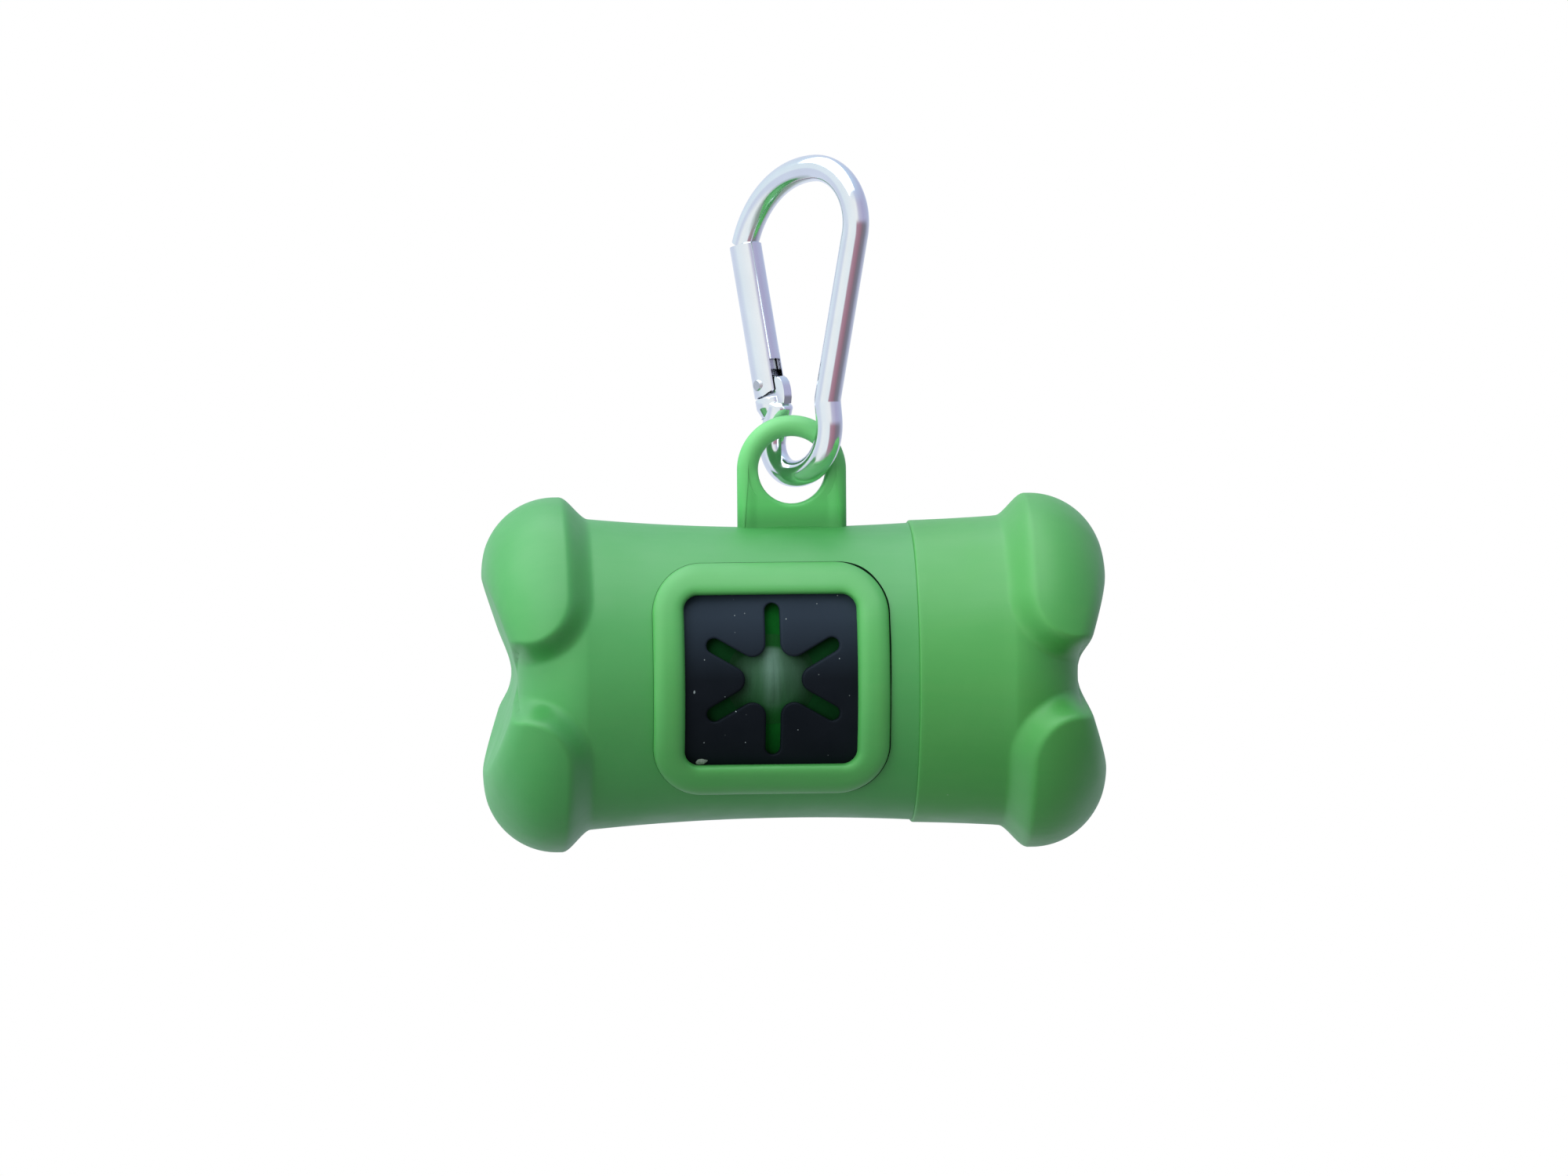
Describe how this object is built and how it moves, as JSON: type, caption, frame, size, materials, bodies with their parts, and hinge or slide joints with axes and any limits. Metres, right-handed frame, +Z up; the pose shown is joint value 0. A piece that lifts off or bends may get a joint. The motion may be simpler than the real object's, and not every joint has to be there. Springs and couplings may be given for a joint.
{
  "type": "dog poop bag dispenser",
  "caption": "Green bone-shaped waste bag dispenser with a screw-off end cap, a star-slit rubber outlet in a square frame and a hanging tab on a small wire snap hook.",
  "frame": {"origin": "inside of the snap hook's top bend, where the leash or belt loop carries the dispenser", "axes": "+Z up, away from the hanging housing; +X along the housing's axis towards the screw-off cap; -Y out of the bag outlet"},
  "size_m": [0.0795, 0.0437, 0.0889],
  "materials": {
    "housing_plastic": "satin moulded green",
    "outlet_rubber": "smooth soft rubber",
    "bag_film": "thin wound translucent film",
    "core_card": "grey-brown wound card",
    "hook_metal": "bright plated wire",
    "hook_steel": "bare steel"
  },
  "bodies": {
    "hook": {"hook_rod": "hook_metal"},
    "gate": {"gate_tube": "hook_metal", "gate_rivet": "hook_steel", "gate_pin": "hook_steel", "gate_spring": "hook_steel"},
    "dispenser": {"body_shell": "housing_plastic", "outlet_frame": "housing_plastic", "outlet_diaphragm": "outlet_rubber"},
    "cap": {"end_cap": "housing_plastic"},
    "roll": {"bag_roll": "bag_film", "roll_core": "core_card"}
  },
  "joints": [
    {"name": "gate_hinge", "type": "hinge", "parent": "hook", "child": "gate", "pos_m": [-0.00588, 0.00701, -0.02616], "axis": [0.766, 0.6428, 0], "range_deg": [0, 25], "stiffness_Nm_per_rad": 0.02, "springref_deg": -17.19},
    {"name": "dispenser_twist", "type": "hinge", "parent": "hook", "child": "dispenser", "pos_m": [-0.00243, 0.00267, -0.03685], "axis": [0, 0, 1], "range_deg": [0, 75]},
    {"name": "cap_pull", "type": "slide", "parent": "dispenser", "child": "cap", "axis": [1, 0, 0], "range_m": [0, 0.03]},
    {"name": "roll_spin", "type": "hinge", "parent": "dispenser", "child": "roll", "pos_m": [-0.00333, 0.00267, -0.06555], "axis": [1, 0, 0], "continuous": true}
  ]
}
